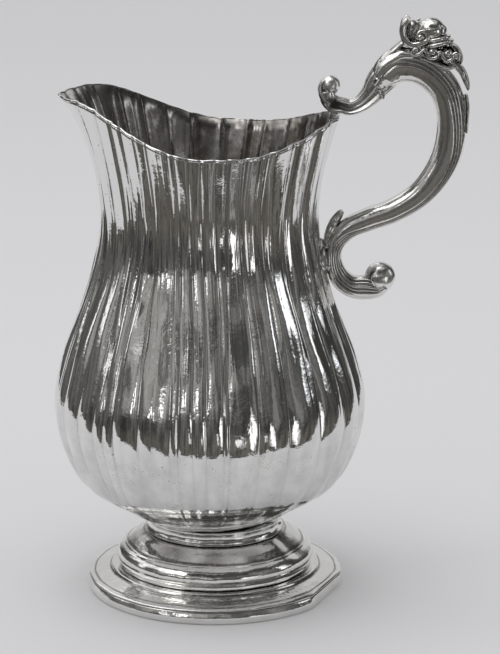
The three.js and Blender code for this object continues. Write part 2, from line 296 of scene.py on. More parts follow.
def painted_low_shade(n, where, height_up, colour, low_shade_strength):
    """Painted shade on the lower bowl and the foot: grey runs and blotches that stand in for the shaded
    floor seen in the silver.
    """
    low_shade_mask = n.remap(height_up, 0.108, 0.078, 0.0, low_shade_strength)
    shade_streak = n.remap(n.noise(stretched(n, where, 0.12), 120, 3), 0.35, 0.65, 0.0, 0.2)
    shade_blotch = n.remap(n.noise(where, 130, 4), 0.38, 0.68, 0.0, 0.2)
    painted_shade = n.times(low_shade_mask, n.math("ADD", shade_streak, shade_blotch))
    return n.mix(painted_shade, colour, LOW_SHADE_TONE)


def roughened(n, where, polish, stain, pit):
    """Roughness: long polishing marks, duller where it is stained or pitted."""
    marks = n.noise(stretched(n, where, 0.16), 520, 3)
    rough = n.remap(marks, 0.3, 0.75, polish, polish * 2.2)
    rough = n.math("ADD", rough, n.times(stain, 0.22))
    return n.math("ADD", rough, n.times(pit, 0.4))


def spun_scratches(n, where):
    """Fine scratches that run round the middle of the foot."""
    x, y, z = n.new("ShaderNodeSeparateXYZ", None, Vector=where).outputs
    from_middle = n.math("SUBTRACT", x, FOOT_X)
    squares = n.math("ADD", n.math("POWER", from_middle, 2), n.math("POWER", y, 2))
    out = n.math("SQRT", squares)
    turn = n.times(n.math("ARCTAN2", y, from_middle), 0.0025)
    turned = n.new("ShaderNodeCombineXYZ", None, X=out, Y=turn, Z=z)
    return n.noise(turned.outputs[0], SCRATCH_SCALE, 2)


def worked_surface(n, where, hammer, pit, spun_lines):
    """The normal: planishing marks of the given depth with pits sunk in them, then fine scratches."""
    height = n.math("ADD", n.times(n.noise(where, 900, 2), 0.3), n.noise(where, 300, 2))
    height = n.math("SUBTRACT", height, n.times(pit, 0.9))
    planished = n.new("ShaderNodeBump", None, Strength=1.0, Distance=hammer, Height=height).outputs[0]
    if spun_lines:
        scratches = spun_scratches(n, where)
    else:
        scratches = n.noise(stretched(n, where, 0.06), SCRATCH_SCALE, 2)
    lined = n.new(
        "ShaderNodeBump", None, Strength=0.6, Distance=SCRATCH_DEPTH, Height=scratches, Normal=planished
    )
    return lined.outputs[0]


def silver(name, tone, polish, hammer, tarnish_tone, pits, low_shade_strength=0.0, spun_lines=False):
    """Polished, worn silver. polish is its roughness where clean, hammer the depth of its marks (m)."""
    material = bpy.data.materials.new(name)
    material.use_nodes = True
    n = Nodes(material.node_tree)
    where = n.new("ShaderNodeTexCoord").outputs["Object"]
    height_up = n.new("ShaderNodeSeparateXYZ", None, Vector=where).outputs[2]
    colour, stain = tarnished(n, where, tone, tarnish_tone)
    colour, pit = pitted(n, where, height_up, colour, pits)
    # Painted shade: grey streaks over the lower bowl and the foot, standing in for the shaded floor seen in
    # the silver.
    colour = painted_low_shade(n, where, height_up, colour, low_shade_strength)
    shader = n.new(
        "ShaderNodeBsdfPrincipled",
        None,
        Base_Color=colour,
        Metallic=1.0,
        Roughness=roughened(n, where, polish, stain, pit),
        Normal=worked_surface(n, where, hammer, pit, spun_lines),
    )
    out = n.new("ShaderNodeOutputMaterial")
    n.tree.links.new(shader.outputs[0], out.inputs[0])
    return material


# The body carries the painted shade on its lower bowl at full strength, the foot at 0.3.
BODY_SILVER = silver("body_silver", (0.85, 0.85, 0.845, 1), 0.04, 0.00009, BROWN_TARNISH_AND_SHADE, 0.9, low_shade_strength=1.0)
FOOT_SILVER = silver(
    "foot_silver", (0.86, 0.855, 0.84, 1), 0.07, 0.00012, BROWN_TARNISH_AND_SHADE, 0.5, low_shade_strength=0.3, spun_lines=True
)
CAST_SILVER = silver("cast_silver", (0.82, 0.815, 0.80, 1), 0.09, 0.00008, DARK_TARNISH, 0.3)
RUBBED_SILVER = silver("rubbed_silver", (0.88, 0.875, 0.865, 1), 0.17, 0.00006, RUBBED_TARNISH, 0.2)


# ---- body ----

# The body's axis stands a little towards the spout from the foot's. All of these are in mm or degrees.
BODY_SHIFT = -2.2
WALL = 1.3
BOWL_BOTTOM = 34.0
RIM_HEIGHT = 222.0
RIM_RADIUS = 58.5
RIM_LOW = 213.2
RIM_TILT = 0.6
SPOUT_LIFT = 20.3
SPOUT_PULL = 9.9
SPOUT_SPREAD = 30
HANDLE_LIFT = 11.5
HANDLE_FLARE = 1.5
PULL_START = 185
WIRE_RADIUS = 0.8
GAP = 0.3
BODY_PROFILE = [
    (30, BOWL_BOTTOM), (43.5, 42), (62.3, 56), (72.3, 84), (67.9, 112),
    (54.4, 150), (50.2, 172), (51.6, 192), (RIM_RADIUS, RIM_HEIGHT),
]

# The lobes were raised by hand, so no two are alike. FRONT is the side that shows the handle in profile,
# in degrees round from the handle. The near creases are degrees from it, at the belly and at the neck.
# After them come the crown of the lobe that follows (mm) and how flat its middle is (2 is round, 4 flat).
FRONT = -85.4
NEAR_LOBES = [
    (-81.6, -81.0, 1.2, 2.0),
    (-68.8, -70.0, 1.1, 2.0),
    (-57.0, -58.0, 1.0, 2.0),
    (-46.9, -47.0, 0.6, 2.0),
    (-42.0, -41.5, 0.5, 2.0),
    (-37.8, -34.5, 0.9, 3.2),
    (-26.4, -28.0, 0.5, 3.4),
    (-14.0, -17.5, 0.35, 2.0),
    (-11.2, -14.5, 0.5, 2.0),
    (-5.7, -8.5, 0.5, 2.0),
    (-0.8, -2.6, 0.7, 2.0),
    (5.7, 4.5, 0.3, 2.0),
    (7.5, 9.5, 0.55, 3.4),
    (18.3, 17.5, 0.9, 2.2),
    (30.1, 29.0, 1.1, 2.0),
    (44.5, 43.0, 1.2, 2.0),
    (59.5, 58.0, 1.2, 2.0),
    (73.9, 73.0, 1.2, 2.0),
]
FAR_LOBES = 15
LOBE_SCALE = 1.35
# Dents in the wide lobe left of the middle: where (degrees, mm), how wide and tall, and how deep (mm).
PANEL_DENTS = [
    (-32.5, 176, 2.8, 6, 0.85),
    (-30.5, 158, 2.6, 7, 0.70),
    (-34.0, 145, 2.6, 6, 0.75),
    (-30.0, 132, 3.2, 8, 0.70),
    (-34.0, 112, 3.4, 10, 0.70),
]
# The two wide lobes lean, the left near its top and the right at its waist: middle and half width
# (degrees), how softly that ends (degrees), and how steep it is (mm for each degree).
LEFT_PANEL = (-31.5, 2.5, 1, 0.45 / 3)
RIGHT_PANEL = (13.4, 4.4, 0.4, 0.62 / 4.4)
# How far each kind of unevenness stands out, in mm.
LOBE_LEAN = 0.26
LOBE_SWELL = 0.24
WAIST_SWELL = 0.34
HAMMER_MARK = 0.05
LONG_WAVE = 0.12
FACET_LEAN = 0.24
# Mesh density: columns all round, how much denser the near lobes are, rows up the outside and the inside.
COLUMNS = 700
NEAR_DENSITY = 2.4
OUTER_ROWS = 106
INNER_ROWS = 28
FACETS = 4


def lobe_table():
    """Crease angles (radians) at belly and neck, crowns and flatness, one row for each lobe."""
    near = np.array(NEAR_LOBES)
    first, last = near[0, 0], near[-1, 0]
    sweep = 360 + first - last
    step = np.arange(1, FAR_LOBES + 1) / (FAR_LOBES + 1)
    far_belly = last + sweep * step + RANDOM.uniform(-1.3, 1.3, FAR_LOBES)
    far_neck = far_belly + RANDOM.uniform(-1.2, 1.2, FAR_LOBES)
    far_crown = RANDOM.uniform(0.9, 1.3, FAR_LOBES)
    far_flat = RANDOM.uniform(2.0, 2.8, FAR_LOBES)
    far = np.stack([far_belly, far_neck, far_crown, far_flat], axis=1)
    table = np.concatenate([near, far])
    table[:, :2] = np.radians(table[:, :2] + FRONT)
    return table


def column_places(table):
    """Which lobe each column is on, and how far across it, 0 to 1."""
    width = np.diff(np.append(table[:, 0], table[0, 0] + ROUND))
    weight = width * np.where(np.arange(len(table)) < len(NEAR_LOBES), NEAR_DENSITY, 1)
    counts = np.maximum(5, np.round(weight / weight.sum() * COLUMNS)).astype(int)
    counts[-1] += COLUMNS - counts.sum()
    lobe = np.repeat(np.arange(len(table)), counts)
    part = np.concatenate([np.arange(c) / c for c in counts])
    return lobe, part


LOBES = lobe_table()
LOBE_OF, PART_OF = column_places(LOBES)


def from_spout(angle):
    """Degrees round from the spout, 0 to 180."""
    return np.degrees(np.arccos(-np.cos(angle)))


def rim_radius(angle):
    """The mouth pulled out into a spout, and flared a little at the handle."""
    d = from_spout(angle)
    spout = SPOUT_PULL * np.exp(-((d / SPOUT_SPREAD) ** 2))
    return RIM_RADIUS + spout + HANDLE_FLARE * ramp(d, 160, 180)


def rim_height(angle):
    """The mouth's edge rises to the spout and, less, to the handle."""
    d = from_spout(angle)
    waves = SPOUT_LIFT * (1 - ramp(d, 22, 93)) + HANDLE_LIFT * ramp(d, 107, 174)
    return RIM_LOW + waves - RIM_TILT * np.sin(angle)


def column_angles(z):
    """The angle of every column at each height, drifting from the belly's place to the neck's."""
    to_neck = ramp(z, 110, 185)[:, None]
    belly, neck = LOBES[:, 0], LOBES[:, 1]
    ends = np.append(np.arange(1, len(LOBES)), 0)
    turn = np.where(ends == 0, ROUND, 0)
    start = belly[LOBE_OF] * (1 - to_neck) + neck[LOBE_OF] * to_neck
    stop_belly, stop_neck = (belly[ends] + turn)[LOBE_OF], (neck[ends] + turn)[LOBE_OF]
    stop = stop_belly * (1 - to_neck) + stop_neck * to_neck
    angle = start + PART_OF * (stop - start)
    sway = ripples(7, 5, 0.08, 3)(angle, z[:, None]) * 0.01
    return angle + sway


hammer_marks = ripples(46, 75, 0.40, 5)
long_waves = ripples(18, 24, 0.11, 8)
STREAK_COUNT = 150
STREAKS = {
    "place": RANDOM.uniform(0, COLUMNS, STREAK_COUNT),
    "low": RANDOM.uniform(70, 190, STREAK_COUNT),
    "length": RANDOM.uniform(25, 110, STREAK_COUNT),
    "height": RANDOM.uniform(-0.17, 0.17, STREAK_COUNT),
    "width": RANDOM.uniform(0.8, 1.7, STREAK_COUNT),
}


def lobe_motion(z, seed, longest, shortest):
    """A smooth random value for every lobe at every height, about -1 to 1."""
    rng = np.random.default_rng(seed)
    total = 0
    for _ in range(4):
        pace = ROUND / rng.uniform(shortest, longest, len(LOBES))
        phase = rng.uniform(0, ROUND, len(LOBES))
        total = total + np.sin(z * pace[LOBE_OF] + phase[LOBE_OF])
    return total / 2


def narrow_facets(z):
    """Each lobe is broken into a few narrow, nearly flat strips that lean this way and that."""
    rng = np.random.default_rng(64)
    count = len(LOBES)
    edges = np.cumsum(rng.uniform(0.5, 1.6, (count, FACETS)), axis=1)
    edges = np.concatenate([np.zeros((count, 1)), edges / edges[:, -1:]], axis=1)
    rest = rng.normal(0, 1, (count, FACETS + 1))
    sway = rng.uniform(0.2, 0.7, (count, FACETS + 1))
    pace = ROUND / rng.uniform(60, 150, (count, FACETS + 1))
    phase = rng.uniform(0, ROUND, (count, FACETS + 1))
    width = np.degrees(np.diff(np.append(LOBES[:, 1], LOBES[0, 1] + ROUND)))
    size = np.minimum(1, width / 12)[:, None] ** 1.3 * np.where(LOBES[:, 3] > 3, 0.35, 1)[:, None]
    rest, sway = rest * size, sway * size
    rest[:, [0, -1]] = 0
    sway[:, [0, -1]] = 0
    strip = (PART_OF[:, None] >= edges[LOBE_OF, 1:]).sum(axis=1)
    start, stop = edges[LOBE_OF, strip], edges[LOBE_OF, strip + 1]
    part = (PART_OF - start) / (stop - start)

    def level(k):
        wave = np.sin(z * pace[LOBE_OF, k] + phase[LOBE_OF, k])
        return rest[LOBE_OF, k] + sway[LOBE_OF, k] * wave

    return level(strip) * (1 - part) + level(strip + 1) * part


def panel_shape(angle, z):
    """The two wide lobes in front: dents in the left one, and the lean of both."""
    turn = np.degrees(angle) - FRONT
    turn = (turn + 180) % 360 - 180
    total = 0
    for at, height, across, along, depth in PANEL_DENTS:
        total = total - depth * bump(turn, at, across) * bump(z, height, along)

    def lean(middle, half, soft, steepness):
        inside = ramp(turn, middle - half - soft, middle - half)
        inside = inside * (1 - ramp(turn, middle + half, middle + half + soft))
        return inside * steepness * (turn - middle)

    near_top = ramp(z, 165, 185)
    waist = ramp(z, 146, 152) * (1 - ramp(z, 176, 183))
    return total - near_top * lean(*LEFT_PANEL) - waist * lean(*RIGHT_PANEL)


def lobe_depth(z):
    """The lobes fade out at the bottom of the bowl and are shallower at the neck."""
    return ramp(z, 37, 60) * (1 - 0.25 * ramp(z, 150, 205))


def fine_streaks(z):
    """Thin raised and sunk lines left by the tools, running up the body for part of its height."""
    total = np.zeros((len(z), COLUMNS))
    column = np.arange(COLUMNS)
    for place_at, low, length, height, width in zip(*STREAKS.values()):
        over = ramp(z, low - 12, low + 12) * (1 - ramp(z, low + length - 12, low + length + 12))
        total += height * over * bump(column, place_at, width)
    return total


def relief(angle, z):
    """How far the worked surface stands out from the plain turned form, and its tarnish mark: how hollow it
    is, plus painted shade over the lower lobes.
    """
    crown, flat = LOBES[LOBE_OF, 2], LOBES[LOBE_OF, 3]
    across = 2 * PART_OF - 1
    upper = ramp(z, 95, 150)
    sharp = ramp(z, 62, 86)
    creased = np.abs(across) ** (flat + 1.5 * upper)
    soft = (1 - np.cos(math.pi * across)) / 2
    edge = creased * sharp + soft * (1 - sharp)
    inner = 1 - across**6
    out = -LOBE_SCALE * crown * lobe_depth(z) * edge
    swell = (LOBE_SWELL + WAIST_SWELL * bump(z, 135, 35)) * sharp
    out = out + LOBE_LEAN * lobe_motion(z, 61, 150, 60) * across * inner * (0.25 * sharp + 0.75 * upper)
    out = out + lobe_motion(z, 62, 110, 40) * (1 - across**4) * swell
    out = out + HAMMER_MARK * hammer_marks(angle, z) * ramp(z, 60, 90)
    out = out + LONG_WAVE * long_waves(angle, z) * ramp(z, 60, 100)
    out = out + fine_streaks(z) * (0.4 + 0.6 * sharp)
    out = out + FACET_LEAN * narrow_facets(z) * (0.2 * sharp + 0.8 * upper)
    out = out + panel_shape(angle, z)
    hollow = (np.abs(across) ** 11) * (0.45 + 0.35 * upper) * sharp + 0.06 * upper
    # Painted shade: below about 70 mm the lobes darken towards their edges and vary from lobe to lobe.
    lower_lobe_shade = 0.09 + 0.07 * lobe_motion(z, 65, 90, 40) + 0.20 * across**4 + 0.04 * long_waves(angle, z)
    return out, hollow + lower_lobe_shade * (1 - ramp(z, 64, 80))


def raised(radius, z):
    """Rings of points for the body at plain radius and height, with lobes, spout and wavy rim."""
    angle = column_angles(z)
    r, h = radius[:, None], z[:, None]
    # hollow is the tarnish in the creases together with the painted shade on the lower lobes.
    out, hollow = relief(angle, h)
    t = np.maximum(0, (h - PULL_START) / (RIM_HEIGHT - PULL_START))
    pulled = r + (rim_radius(angle) - RIM_RADIUS) * t**3 + out
    lifted = h + (rim_height(angle) - WIRE_RADIUS - RIM_HEIGHT) * t
    x = BODY_SHIFT + pulled * np.cos(angle)
    return np.stack([x, pulled * np.sin(angle), lifted + 0 * angle], axis=-1), hollow


def rim_relief(angle):
    """How far the worked surface stands out at the mouth, so that the bead follows it."""
    top = np.array([RIM_HEIGHT])
    columns = column_angles(top)
    out = relief(columns, top[:, None])[0]
    return np.interp(angle, columns[0], out[0], period=ROUND)


def offset_profile(rows, inset):
    """The body's outline, moved inwards by the inset: radii and heights."""
    line = catmull(BODY_PROFILE, rows)
    tangent = unit(np.gradient(line, axis=0))
    return line[:, 0] - tangent[:, 1] * inset, line[:, 1] + tangent[:, 0] * inset


def inner_tarnish(z, hollow):
    """The inside is dull near the mouth, most of all at the back and the handle, and cleaner deep down."""
    around = column_angles(z)
    dull = 0.70 + 0.4 * hollow + 0.25 * long_waves(around, z[:, None]) + 0.33 * np.cos(around - 0.7)
    dull -= 0.45 * (1 - ramp(z, 130, 180))[:, None]
    return np.clip(dull, 0, 1)


def build_body():
    """The outside from the bottom up, over the lip, and the inside back down to the bottom."""
    outer_r, outer_z = offset_profile(OUTER_ROWS, 0)
    inner_r, inner_z = offset_profile(INNER_ROWS, WALL)
    inner_r, inner_z = inner_r[::-1], inner_z[::-1]
    lip_r = np.array([(outer_r[-1] * 3 + inner_r[0]) / 4, (outer_r[-1] + inner_r[0] * 3) / 4])
    lip_z = np.array([outer_z[-1] + 0.1, inner_z[0] + 0.1])
    outside, tarnish_and_shade_out = raised(np.concatenate([outer_r, lip_r]), np.concatenate([outer_z, lip_z]))
    inside, hollow_in = raised(inner_r, inner_z)
    marks = np.concatenate([tarnish_and_shade_out * 0.55, inner_tarnish(inner_z, hollow_in)])
    sheet = closed_rows(np.concatenate([outside, inside]), marks)
    add_piece("body_raised", "body_shell", "body_silver", BODY_SILVER, *sheet)


def build_rim_wire():
    """The bead hammered over along the mouth: polished outside, dull inside, and not quite even."""
    steps, sides = 720, 12
    column = full_turn(steps)[:, None]
    turn = full_turn(sides)
    thick = 0.78 * WIRE_RADIUS * (1 + 0.12 * ripples(9, 60, 0, 23)(column, 0))
    r = rim_radius(column) - 0.5 * WALL + rim_relief(column)
    z = rim_height(column) - thick + 0.16 * ripples(12, 50, 0, 22)(column, 0)
    radial = r + thick * np.cos(turn)
    height = z + thick * np.sin(turn)
    x = BODY_SHIFT + radial * np.cos(column)
    points = np.stack([x, radial * np.sin(column), height], axis=-1).reshape(-1, 3)
    faces = [f[::-1] for f in grid_faces(steps, sides, wrap_rows=True)]
    inward = ramp(-np.cos(turn) - 0.3 * np.sin(turn), 0.0, 0.5) + 0 * column
    add_piece("rim_bead", "rim_wire", "body_silver", BODY_SILVER, points, faces, 0.85 * inward)


build_body()
build_rim_wire()


# ---- foot ----

FOOT_STEPS = 240
OUTLINE_SPACING = 0.45
OUT_OF_TRUE = 0.13
# The stretch of the edge that was flattened: its middle and half width, and how far in it reaches.
FLAT_MIDDLE = math.radians(-18)
FLAT_HALF = math.radians(17.5)
FLAT_INNER = 53.0
foot_dents = ripples(22, 26, 0.5, 31)


def rounded(profile):
    """The outline with points added along it, its corners softened a little."""
    p = np.asarray(profile, float)
    closed = np.concatenate([p, p[:1]])
    lengths = np.linalg.norm(np.diff(closed, axis=0), axis=1)
    dense = []
    for a, b, length in zip(closed[:-1], closed[1:], lengths):
        count = max(2, int(round(length / OUTLINE_SPACING)))
        for k in range(count):
            dense.append(a + (b - a) * k / count)
    dense = np.array(dense)
    for _ in range(2):
        dense = 0.25 * np.roll(dense, 1, 0) + 0.5 * dense + 0.25 * np.roll(dense, -1, 0)
    return dense


def edge_dent(r, z, a):
    """The foot was dropped on its edge once: a short stretch of the rim is flattened."""
    off = np.abs((a - FLAT_MIDDLE + math.pi) % ROUND - math.pi)
    chord = FOOT_RADIUS * math.cos(FLAT_HALF) / np.cos(np.minimum(off, FLAT_HALF))
    squeeze = (chord - FLAT_INNER) / (FOOT_RADIUS - FLAT_INNER)
    pushed = FLAT_INNER + (r - FLAT_INNER) * squeeze
    return np.where((off < FLAT_HALF) & (r > FLAT_INNER), pushed, r), z


def dent_at(degrees, width, depth, above):
    """A soft dent pressed into the part of a ring above a height."""
    def pressed(r, z, a):
        off = (a - math.radians(degrees) + math.pi) % ROUND - math.pi
        push = depth * bump(off, 0, math.radians(width)) * ramp(z, above, above + 3)
        return r - push, z - 0.5 * push
    return pressed


def spun(name, profile, node, tarnish_of, dent):
    """A spun ring, outline given anticlockwise in [radius, height], very slightly out of true."""
    line = rounded(profile)
    r, z = line[:, 0][:, None], line[:, 1][:, None]
    a = full_turn(FOOT_STEPS)
    marks = tarnish_of(r, z, a) + 0 * a
    r, z = dent(r + OUT_OF_TRUE * foot_dents(a, z), z + 0 * a, a)
    grid = np.stack([r * np.cos(a), r * np.sin(a), z], axis=-1)
    faces = grid_faces(len(line), FOOT_STEPS, wrap_rows=True)
    add_piece(name, node, "foot_silver", FOOT_SILVER, grid.reshape(-1, 3), faces, np.clip(marks, 0, 1))


def arc(centre_r, centre_z, radius, start, stop, steps):
    """Points on a round stretch of an outline, between two angles in degrees."""
    angles = np.radians(np.linspace(start, stop, steps + 1))
    return [(centre_r + radius * math.cos(a), centre_z + radius * math.sin(a)) for a in angles]


def grooves(at, width, haze=0.03, stain_and_shade=None):
    """Tarnish gathered in lines at the given radii, and between two radii a darkening, heaviest in front,
    that is partly a brown stain and partly painted shade.
    """
    def marks(r, z, a):
        lines = sum(bump(r, g, width) for g in at)
        cloudy = haze * (1 + stain_clouds(a, z))
        if stain_and_shade:
            inner, outer, strength = stain_and_shade
            # Partly a brown stain and partly painted shade from the belly above, heaviest in front.
            over = ramp(r, inner, inner + 1) * (1 - ramp(r, outer - 1.5, outer))
            in_front = 0.25 + 0.9 * np.exp(-(((a - math.radians(FRONT + 360)) / 0.8) ** 2))
            cloudy = cloudy + over * strength * in_front * (1 + 0.7 * stain_clouds(a, z))
        return lines + cloudy
    return marks


stain_clouds = ripples(16, 14, 0.5, 33)
COLLAR_BOTTOM, COLLAR_TOP, COLLAR_RADIUS = 28.0, 33.7, 32.5
COLLAR_LIP = 34.5
DOME_BOTTOM = 11.2
TORUS_RADIUS, TORUS_HEIGHT, TORUS_SIZE = 46.1, 16.2, 5.2
BAND_BULGE = 0.75

collar_profile = [
    (26, COLLAR_BOTTOM), (COLLAR_RADIUS, COLLAR_BOTTOM), (COLLAR_RADIUS, 28.8), (31.5, 29.3),
    (30.9, 31.4), (31.5, 33.3), (COLLAR_RADIUS - 0.6, COLLAR_LIP - 0.6), (COLLAR_RADIUS - 1, COLLAR_LIP),
    (COLLAR_RADIUS - 2, COLLAR_LIP - 0.6), (26, COLLAR_TOP - 0.8),
]
dome_profile = (
    [(TORUS_RADIUS - TORUS_SIZE, DOME_BOTTOM), (45.4, DOME_BOTTOM), (45.1, 12.2)]
    + arc(TORUS_RADIUS - TORUS_SIZE, TORUS_HEIGHT, TORUS_SIZE, -38, 74, 14)
    + [
        (42.1, 21.8), (41.2, 21.9), (40.6, 22.7), (37.5, 24.9), (35, 26.2), (33.6, 27.2),
        (33, COLLAR_BOTTOM - GAP), (28, COLLAR_BOTTOM - GAP), (28, COLLAR_BOTTOM - GAP - 1.6),
        (33.5, 25), (40, 19.8), (42.7, TORUS_HEIGHT),
    ]
)
flange_top = DOME_BOTTOM - GAP
flange_edge = BAND_TOP + GAP
flange_profile = [
    (41, flange_top - 1.4), (47.5, flange_top - 1.4), (53, 7.3), (57, flange_edge),
    (FOOT_RADIUS - 0.5, flange_edge), (FOOT_RADIUS - 0.4, flange_edge + 0.5),
    (FOOT_RADIUS - 1.4, flange_edge + 1), (57.2, 7.75), (56.7, 7.5), (56.2, 7.95), (54, 8.4),
    (51, 9.1), (49.6, 9.4), (49.0, 9.8), (48.6, flange_top), (41, flange_top),
]
band_profile = [
    (FOOT_RADIUS - 3.6, 0), (FOOT_RADIUS - 1.2, 0), (FOOT_RADIUS - BAND_BULGE, 0.5),
    (FOOT_RADIUS, BAND_TOP / 2), (FOOT_RADIUS - BAND_BULGE, BAND_TOP - 0.5),
    (FOOT_RADIUS - 1.0, BAND_TOP), (FOOT_RADIUS - 1.6, BAND_TOP), (FOOT_RADIUS - 1.6, 1.4),
    (FOOT_RADIUS - 3.6, 1),
]
collar_marks = grooves([COLLAR_RADIUS + 0.2], 0.5)
# The cone's darkening between two radii is partly a brown stain and partly painted shade.
dome_marks = grooves([41.1, 33.2], 0.5, stain_and_shade=(33.5, 41.5, 0.42))
flange_marks = grooves([49.3, 56.7], 0.4)


def band_marks(r, z, a):
    """Dark in the joint between the band and the flange."""
    return 0.5 * bump(z, BAND_TOP, 0.5) + 0 * a


spun("foot_collar_ring", collar_profile, "foot_collar", collar_marks, dent_at(-6, 9, 1.2, 28))
spun("foot_stepped_dome", dome_profile, "foot_dome", dome_marks, dent_at(-22, 8, 1.1, 18))
spun("foot_dished_flange", flange_profile, "foot_flange", flange_marks, edge_dent)
spun("foot_edge_band", band_profile, "foot_base_band", band_marks, edge_dent)


# ---- handle ----

def toned(level):
    """An even tarnish and no relief."""
    return lambda u, v, w: (0 * u * v * w, level + 0 * u * v * w)


def bar(line, half_width, rings, sides, shape=toned(0), power=1.0):
    """A bar bent in the XZ plane through [x, z, half thickness].

    shape(along, across, side) returns how far to sink the surface, in mm, and its tarnish. along runs
    from 0 to 1, across from -1 on the inner side to 1 on the back, side from -1 to 1 in Y.
    """
    path = catmull(line, rings)
    tangent = unit(np.gradient(path[:, :2], axis=0))
    back = np.stack([-tangent[:, 1], tangent[:, 0]], axis=1)
    along = np.linspace(0, 1, rings)[:, None]
    turn = full_turn(sides)
    c, s = np.cos(turn), np.sin(turn)
    across = np.sign(c) * np.abs(c) ** power
    side = np.sign(s) * np.abs(s) ** power
    width = half_width(along) if callable(half_width) else half_width + 0 * along
    half = path[:, 2][:, None]
    sink, tarnish = shape(along, across, side)
    a = across * half - c * sink
    b = side * width - s * sink
    end = np.minimum(1, np.minimum(along, 1 - along) * rings / 5)
    shrink = np.sqrt(np.maximum(0.02, 1 - (1 - end) ** 2))
    a, b = a * shrink, b * shrink
    x = path[:, 0][:, None] + back[:, 0][:, None] * a
    z = path[:, 1][:, None] + back[:, 1][:, None] * a
    return closed_rows(np.stack([x, b + 0 * a, z], axis=-1), tarnish + 0 * a)


def blob(centre, radii, rows, columns, shape=toned(0)):
    """A rounded lump about the Y axis. shape(x, z, y), given unit ball places, returns sink and tarnish."""
    polar = np.linspace(0.03, math.pi - 0.03, rows)[:, None]
    turn = full_turn(columns)
    ux, uz, uy = np.sin(polar) * np.cos(turn), np.sin(polar) * np.sin(turn), np.cos(polar) + 0 * turn
    sink, tarnish = shape(ux, uz, uy)
    x = centre[0] + ux * (radii[0] - sink)
    y = centre[1] + uy * (radii[1] - sink)
    z = centre[2] + uz * (radii[2] - sink)
    return closed_rows(np.stack([x, y, z], axis=-1), tarnish, flipped=True)


# Centre lines from the rim's end: x, z and half the thickness, in mm.
GRIP_HALF_WIDTH = 6.0
GRIP = [
    (73.6, 237.6, 4.2), (76.2, 241.4, 6.0), (79.6, 245.2, 7.5), (84, 247.8, 8.1), (91.5, 247.2, 7.8),
    (98.7, 243.2, 7.5), (105.2, 235, 7.2), (107.6, 223, 6.6), (106.3, 209, 6.7), (101, 197.5, 6.3),
    (93, 188, 5.8), (82, 181, 5.5), (71, 176.8, 5.3), (61.8, 172.4, 4.9), (56.4, 165.8, 4.1),
    (55.3, 157.8, 3.6), (57.5, 150, 4.6), (63.5, 145.2, 5.2), (70.5, 144.7, 5.6), (75.5, 144.6, 4.2),
    (79.5, 146.6, 2.4),
]
STEM = [
    (51.4, 236, 3.2), (52, 232.3, 3.8), (54.6, 229.7, 4.1), (58.5, 228.9, 3.8), (62.4, 228.2, 3.7),
    (67, 230.2, 4), (71.5, 234.5, 5), (75, 239.6, 6.4), (79, 244.5, 7),
]


def grip_shape(along, across, side):
    """Fine reeds run down the back beside a wide smooth roll, and open out round the lower curl."""
    curl = ramp(along, 0.60, 0.74)
    lower = ramp(along, 0.30, 0.46)
    covered = 1 - ramp(along, 0.12, 0.22)
    first = 0.12 + 0.44 * lower - 0.74 * curl
    pitch = 0.22 - 0.07 * lower + 0.15 * curl
    sink, dark = 0 * along * across, 0 * along * across
    for k in range(4):
        at = first + k * pitch
        fade = 1 - covered * min(k, 1)
        if k == 3:
            fade = fade * curl
        line = bump(across, at, 0.034 + 0.02 * curl) * fade
        deep = 1.1 if k == 0 else 0.7
        sink = sink + deep * (1 - 0.3 * curl) * line
        dark = dark + line
    return sink, np.minimum(1, 1.2 * dark)


def stem_shape(along, across, side):
    """A bright bead along each edge of the side, with a long drop-shaped channel sunk between them."""
    start = ramp(along, 0.10, 0.18)
    stop = 1 - ramp(along, 0.86, 0.98)
    reach = 0.58 * np.sqrt(start)
    inside = (1 - ramp(np.abs(across), reach - 0.10, reach + 0.06)) * ramp(reach, 0.2, 0.4)
    channel = inside * stop * ramp(np.abs(side), 0.25, 0.7)
    bead = 0.4 * bump(np.abs(across), reach + 0.14, 0.10) * start * stop
    outer_line = bump(np.abs(across), 0.90, 0.05) * start * stop
    middle = bump(across, -0.1, 0.12) * ramp(along, 0.3, 0.4) * channel
    dark = channel * (1 - 0.55 * ramp(along, 0.28, 0.7)) - 0.5 * middle
    return 1.5 * channel - bead + 0.6 * outer_line - 0.5 * middle, np.clip(0.95 * dark + outer_line, 0, 1)


def crescent(radius, depth, start, stop):
    """A curved notch in both faces of a ball, over part of the turn (degrees, anticlockwise)."""
    def shape(ux, uz, uy):
        out = np.sqrt(ux**2 + uz**2)
        angle = np.degrees(np.arctan2(uz, ux)) % 360
        begun = ramp(angle, start, start + 30)
        ended = ramp(angle, stop - 30, stop)
        line = bump(out, radius, 0.08) * begun * (1 - ended) * ramp(np.abs(uy), 0.02, 0.25)
        return depth * line, np.minimum(1, 1.3 * line)
    return shape


def leaf_shape(ribs, depth):
    """Veins along a leaf, with a raised middle and dark lines between the lobes."""
    def shape(along, across, side):
        wave = np.cos(side * ribs * math.pi)
        vein = bump(wave, -1, 0.5)
        notch = 0.5 * (1 + np.cos(along * 22))
        edge = ramp(np.abs(side), 0.7, 1)
        dark = vein * 0.9 + 0.25 * notch * edge
        return depth * (vein + 0.7 * notch * edge), np.minimum(1, dark)
    return shape


def cast(name, node, *parts, metal=CAST_SILVER):
    """One cast piece made of the given parts."""
    add_piece(name, node, "cast_silver", metal, *join_parts(parts))


